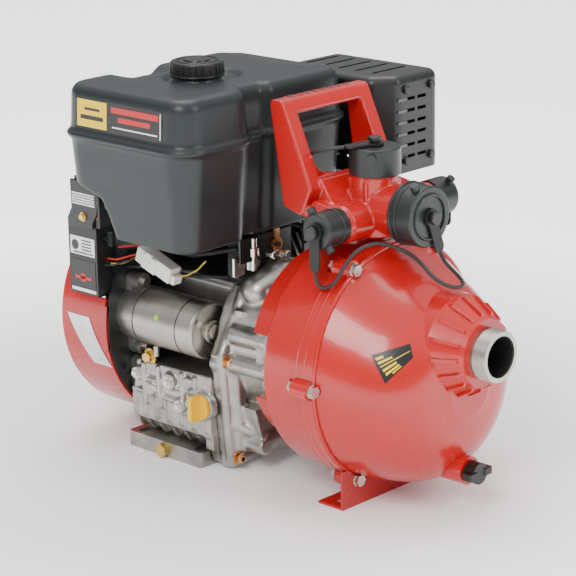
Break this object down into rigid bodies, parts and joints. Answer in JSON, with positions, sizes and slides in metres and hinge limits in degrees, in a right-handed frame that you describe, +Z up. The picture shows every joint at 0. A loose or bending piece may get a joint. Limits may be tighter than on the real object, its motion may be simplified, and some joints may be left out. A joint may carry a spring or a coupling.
{
  "type": "portable fire pump",
  "caption": "Petrol-engine portable fire pump: self-priming pump bowl with capped outlets and carry handle, engine, fuel tank, starter and silencer guard.",
  "frame": {"origin": "centre of the engine base's four mounting slots, on the ground plane", "axes": "+Z up; -Y towards the pump's suction inlet, along the crankshaft; -X towards the starter motor"},
  "size_m": [0.431, 0.614, 0.5023],
  "materials": {
    "red_paint": "gloss",
    "red_casting": "gloss",
    "cast_aluminium": "satin",
    "machined_aluminium": "satin",
    "zinc_steel": "satin",
    "yellow_zinc": "satin",
    "steel": "satin",
    "black_plastic": "matte",
    "grey_plastic": "satin",
    "tank_plastic": "satin",
    "yellow_plastic": "gloss",
    "white_plastic": "gloss",
    "black_rubber": "matte",
    "brass": "satin",
    "bronze": "satin",
    "black_steel": "matte",
    "lead_insulation": "matte",
    "starter_paint": "satin",
    "iron": "matte"
  },
  "bodies": {
    "root": {"front_casing": "red_casting", "rear_casing": "red_casting", "casing_bolts": "zinc_steel", "pump_foot": "red_paint", "suction_nipple": "machined_aluminium", "interstage_diffuser": "cast_aluminium", "discharge_diffuser": "cast_aluminium", "shaft_seal": "steel", "outlet_manifold": "red_casting", "left_cap_strap": "black_rubber", "rear_cap_strap": "black_rubber", "cylinder_block": "cast_aluminium", "side_cover": "cast_aluminium", "cover_bolts": "yellow_zinc", "piston": "cast_aluminium", "cylinder_head": "cast_aluminium", "valve_cover": "black_steel", "spark_plug": "white_plastic", "blower_housing": "red_paint", "starter_body": "starter_paint", "starter_end_cap": "zinc_steel", "starter_gear_case": "cast_aluminium", "small_screws": "zinc_steel", "oil_drain_plug": "brass", "fuel_tank": "tank_plastic", "tank_bracket": "black_steel", "muffler": "black_steel", "muffler_guard": "black_steel", "air_cleaner": "black_plastic", "carburettor": "cast_aluminium", "control_box": "black_plastic", "control_bracket": "black_steel", "wiring_plug": "white_plastic", "wiring_leads": "lead_insulation", "governor_plate": "yellow_zinc"},
    "left_cap_carrier": {"left_outlet_strap_tag": "black_rubber"},
    "left_cap": {"left_outlet_cap": "grey_plastic"},
    "right_cap_carrier": {"right_outlet_strap_tag": "black_rubber"},
    "right_cap": {"right_outlet_cap": "grey_plastic"},
    "main_cap_carrier": {"main_outlet_strap_tag": "black_rubber"},
    "main_cap": {"main_outlet_cap": "grey_plastic"},
    "priming_cap_carrier": {"priming_strap_tag": "black_rubber"},
    "priming_cap": {"priming_cap": "grey_plastic"},
    "drain_carrier": {"drain_plug_seal": "black_rubber"},
    "drain_plug": {"drain_plug": "black_plastic"},
    "fuel_cap_carrier": {"fuel_cap_gasket": "black_rubber"},
    "fuel_cap": {"fuel_cap": "black_plastic"},
    "check_valve": {"check_valve_flap": "black_rubber"},
    "rotor": {"crankshaft": "steel", "flywheel": "iron", "first_impeller": "bronze", "second_impeller": "bronze"},
    "connecting_rod": {"connecting_rod": "cast_aluminium"},
    "camshaft": {"camshaft": "steel"},
    "starter_armature": {"starter_armature": "steel"},
    "recoil_grip": {"recoil_grip": "black_rubber"},
    "recoil_pulley": {"recoil_pulley": "grey_plastic"},
    "oil_dipstick": {"oil_dipstick": "yellow_plastic"},
    "key_switch": {"key_switch": "grey_plastic"},
    "throttle_lever": {"throttle_lever": "yellow_zinc"}
  },
  "joints": [
    {"name": "left_cap_travel", "type": "slide", "parent": "root", "child": "left_cap_carrier", "axis": [-1, 0, 0], "range_m": [0, 0.00925]},
    {"name": "left_cap_turn", "type": "hinge", "parent": "left_cap_carrier", "child": "left_cap", "pos_m": [-0.065, -0.254, 0.333], "axis": [-1, 0, 0], "range_deg": [0, 1440]},
    {"name": "right_cap_travel", "type": "slide", "parent": "root", "child": "right_cap_carrier", "axis": [1, 0, 0], "range_m": [0, 0.00925]},
    {"name": "right_cap_turn", "type": "hinge", "parent": "right_cap_carrier", "child": "right_cap", "pos_m": [0.095, -0.254, 0.333], "axis": [1, 0, 0], "range_deg": [0, 1440]},
    {"name": "main_cap_travel", "type": "slide", "parent": "root", "child": "main_cap_carrier", "axis": [0, -1, 0], "range_m": [0, 0.00925]},
    {"name": "main_cap_turn", "type": "hinge", "parent": "main_cap_carrier", "child": "main_cap", "pos_m": [0, -0.303, 0.344], "axis": [0, -1, 0], "range_deg": [0, 1440]},
    {"name": "priming_cap_travel", "type": "slide", "parent": "root", "child": "priming_cap_carrier", "axis": [0, 0, 1], "range_m": [0, 0.00925]},
    {"name": "priming_cap_turn", "type": "hinge", "parent": "priming_cap_carrier", "child": "priming_cap", "pos_m": [0, -0.254, 0.384], "axis": [0, 0, 1], "range_deg": [0, 1440]},
    {"name": "drain_travel", "type": "slide", "parent": "root", "child": "drain_carrier", "axis": [0, -1, 0], "range_m": [0, 0.00925]},
    {"name": "drain_turn", "type": "hinge", "parent": "drain_carrier", "child": "drain_plug", "pos_m": [0, -0.398, 0.05], "axis": [0, -1, 0], "range_deg": [0, 1440]},
    {"name": "fuel_cap_travel", "type": "slide", "parent": "root", "child": "fuel_cap_carrier", "axis": [0, 0, 1], "range_m": [0, 0.00301]},
    {"name": "fuel_cap_turn", "type": "hinge", "parent": "fuel_cap_carrier", "child": "fuel_cap", "pos_m": [-0.077, -0.041, 0.4863], "axis": [0, 0, 1], "range_deg": [0, 360]},
    {"name": "check_valve_hinge", "type": "hinge", "parent": "root", "child": "check_valve", "pos_m": [0, -0.3695, 0.23], "axis": [1, 0, 0], "range_deg": [0, 35]},
    {"name": "crank_turn", "type": "hinge", "parent": "root", "child": "rotor", "pos_m": [0, 0, 0.16], "axis": [0, 1, 0], "continuous": true},
    {"name": "rod_turn", "type": "hinge", "parent": "rotor", "child": "connecting_rod", "pos_m": [0.02719, 0, 0.17268], "axis": [0, 1, 0], "continuous": true},
    {"name": "camshaft_turn", "type": "hinge", "parent": "root", "child": "camshaft", "pos_m": [0, 0, 0.094], "axis": [0, 1, 0], "continuous": true},
    {"name": "starter_turn", "type": "hinge", "parent": "root", "child": "starter_armature", "pos_m": [-0.094, 0, 0.175], "axis": [0, 1, 0], "continuous": true},
    {"name": "recoil_pull", "type": "slide", "parent": "root", "child": "recoil_grip", "axis": [0, 0, 1], "range_m": [0, 0.45]},
    {"name": "recoil_pulley_turn", "type": "hinge", "parent": "root", "child": "recoil_pulley", "pos_m": [0, 0.1465, 0.16], "axis": [0, 1, 0], "range_deg": [0, 430]},
    {"name": "dipstick_pull", "type": "slide", "parent": "root", "child": "oil_dipstick", "axis": [-1, 0, 0], "range_m": [0, 0.055]},
    {"name": "key_turn", "type": "hinge", "parent": "root", "child": "key_switch", "pos_m": [-0.135, 0.068, 0.276], "axis": [0, 1, 0], "range_deg": [0, 90]},
    {"name": "throttle_swing", "type": "hinge", "parent": "root", "child": "throttle_lever", "pos_m": [-0.018, -0.112, 0.276], "axis": [0, 1, 0], "range_deg": [0, 35]}
  ],
  "couplings": [
    {"joint": "left_cap_travel", "follows": "left_cap_turn", "m_per_rad": 0.00036749},
    {"joint": "right_cap_travel", "follows": "right_cap_turn", "m_per_rad": 0.00036749},
    {"joint": "main_cap_travel", "follows": "main_cap_turn", "m_per_rad": 0.00036749},
    {"joint": "priming_cap_travel", "follows": "priming_cap_turn", "m_per_rad": 0.00036749},
    {"joint": "drain_travel", "follows": "drain_turn", "m_per_rad": 0.00036749},
    {"joint": "fuel_cap_travel", "follows": "fuel_cap_turn", "m_per_rad": 0.00047746},
    {"joint": "rod_turn", "follows": "crank_turn", "ratio": -1},
    {"joint": "camshaft_turn", "follows": "crank_turn", "ratio": -0.5},
    {"joint": "recoil_pulley_turn", "follows": "recoil_pull", "rad_per_m": 16.667}
  ]
}
